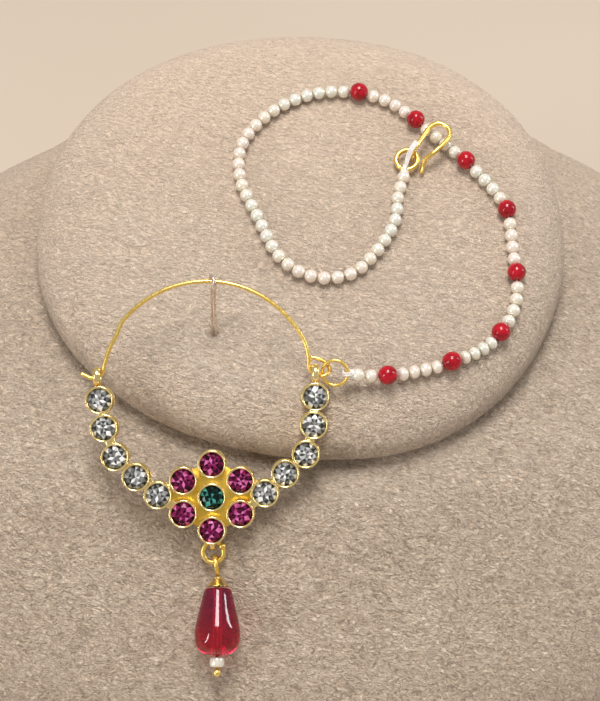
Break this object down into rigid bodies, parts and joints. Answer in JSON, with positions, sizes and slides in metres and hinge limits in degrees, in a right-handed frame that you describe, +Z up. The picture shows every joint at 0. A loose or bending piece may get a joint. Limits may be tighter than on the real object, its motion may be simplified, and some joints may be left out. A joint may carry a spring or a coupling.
{
  "type": "nath nose ring on a neck bust",
  "caption": "Thin gold hoop with a jewelled half and a teardrop drop, a bead string with a hair hook, pinned to a plain velvet neck bust.",
  "frame": {"origin": "middle of the bust's flat base, on the surface it stands on", "axes": "+Z up, -Y the way the bust faces, +X across its shoulders to the viewer's right"},
  "size_m": [0.21, 0.171, 0.1303],
  "materials": {
    "velvet": "short beige velvet",
    "pad_velvet": "short beige velvet, a little lighter",
    "coppery_wire": "worn silver wire with a coppery tone",
    "gold_wire": "bright yellow gold plate",
    "gold_setting": "bright yellow gold plate, cast",
    "clear_glass": "cut clear glass, foil backed",
    "magenta_glass": "cut magenta glass, foil backed",
    "green_glass": "cut dark green glass, foil backed",
    "cherry_glass": "clear cherry-red glass, polished",
    "pearl": "off-white imitation pearl",
    "bead_string": "off-white imitation pearl with glossy red glass beads"
  },
  "bodies": {
    "root": {"bust_body": "velvet", "top_pad": "pad_velvet", "display_pin": "coppery_wire", "hoop_wire": "gold_wire", "setting": "gold_setting", "clear_stone_left_1": "clear_glass", "clear_stone_left_2": "clear_glass", "clear_stone_left_3": "clear_glass", "clear_stone_left_4": "clear_glass", "clear_stone_left_5": "clear_glass", "clear_stone_right_1": "clear_glass", "clear_stone_right_2": "clear_glass", "clear_stone_right_3": "clear_glass", "clear_stone_right_4": "clear_glass", "clear_stone_right_5": "clear_glass", "ruby_stone_1": "magenta_glass", "ruby_stone_2": "magenta_glass", "ruby_stone_3": "magenta_glass", "ruby_stone_4": "magenta_glass", "ruby_stone_5": "magenta_glass", "ruby_stone_6": "magenta_glass", "green_stone": "green_glass", "drop_jump_ring": "gold_wire", "drop_pin": "gold_wire", "drop_cap": "gold_setting", "teardrop_bead": "cherry_glass", "drop_pearl": "pearl", "string_jump_ring": "gold_wire", "bead_string_front": "bead_string", "bead_string_back": "pearl", "end_ring": "gold_wire", "hook": "gold_wire"}
  },
  "joints": []
}
